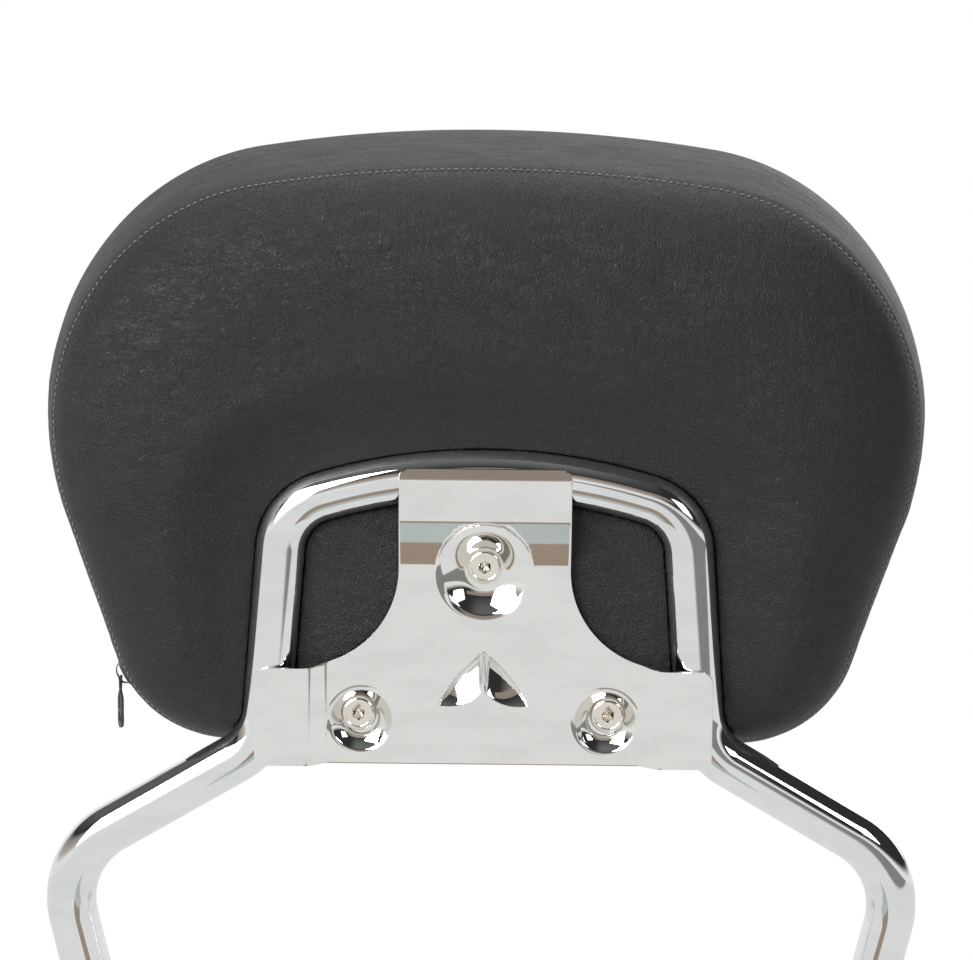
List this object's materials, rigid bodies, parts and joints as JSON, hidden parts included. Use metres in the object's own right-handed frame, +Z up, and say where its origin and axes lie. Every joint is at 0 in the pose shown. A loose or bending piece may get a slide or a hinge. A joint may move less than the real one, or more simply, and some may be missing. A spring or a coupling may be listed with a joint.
{
  "type": "sissy bar",
  "caption": "Motorcycle passenger backrest: a bent chromed tube on flat side plates, a pressed bracket hooked over the tube, and a sewn pad with a zipped cover screwed to it.",
  "frame": {"origin": "midway between the side plates on the axis of their rear bolt holes", "axes": "+X to the right seen from behind, along the bolt axis; +Y forwards; +Z up"},
  "size_m": [0.3484, 0.2019, 0.4348],
  "materials": {
    "chrome": "mirror-bright chrome plate",
    "chrome_plate": "chrome plate on flat bar",
    "chrome_weld": "chrome plate on a ground weld",
    "chrome_sheet": "chrome plate on pressed sheet",
    "screw_metal": "warm bright nickel",
    "zinc": "zinc plated",
    "board": "raw plywood",
    "foam": "open foam",
    "vinyl_front": "fine grained vinyl",
    "vinyl_band": "fine grained vinyl",
    "vinyl_back": "fine grained vinyl",
    "zip_tape": "woven tape",
    "zip_teeth": "moulded nylon",
    "zip_metal": "black enamel"
  },
  "bodies": {
    "backrest": {"frame_tube": "chrome", "side_plate_left": "chrome_plate", "side_plate_right": "chrome_plate", "end_weld_left": "chrome_weld", "end_weld_right": "chrome_weld", "pad_bracket": "chrome_sheet", "screw_top": "screw_metal", "screw_left": "screw_metal", "screw_right": "screw_metal", "tee_nut_top": "zinc", "tee_nut_left": "zinc", "tee_nut_right": "zinc", "base_board": "board", "foam_core": "foam", "cover_front_panel": "vinyl_front", "cover_side_band": "vinyl_band", "cover_back_panel": "vinyl_back", "zip_tape_front": "zip_tape", "zip_tape_back": "zip_tape", "zip_teeth_front": "zip_teeth", "zip_teeth_back": "zip_teeth", "zip_stop_left": "zip_metal", "zip_stop_right": "zip_metal"},
    "slider": {"zip_slider": "zip_metal"},
    "pull": {"zip_pull": "zip_metal"}
  },
  "joints": [
    {"name": "zip_travel", "type": "hinge", "parent": "backrest", "child": "slider", "pos_m": [-0.09836, -0.02076, 0.22753], "axis": [0, -0.9781, -0.2079], "range_deg": [0, 55]},
    {"name": "pull_swing", "type": "hinge", "parent": "slider", "child": "pull", "pos_m": [-0.14166, -0.01564, 0.20347], "axis": [0, -0.9781, -0.2079], "range_deg": [-100, 24]}
  ]
}
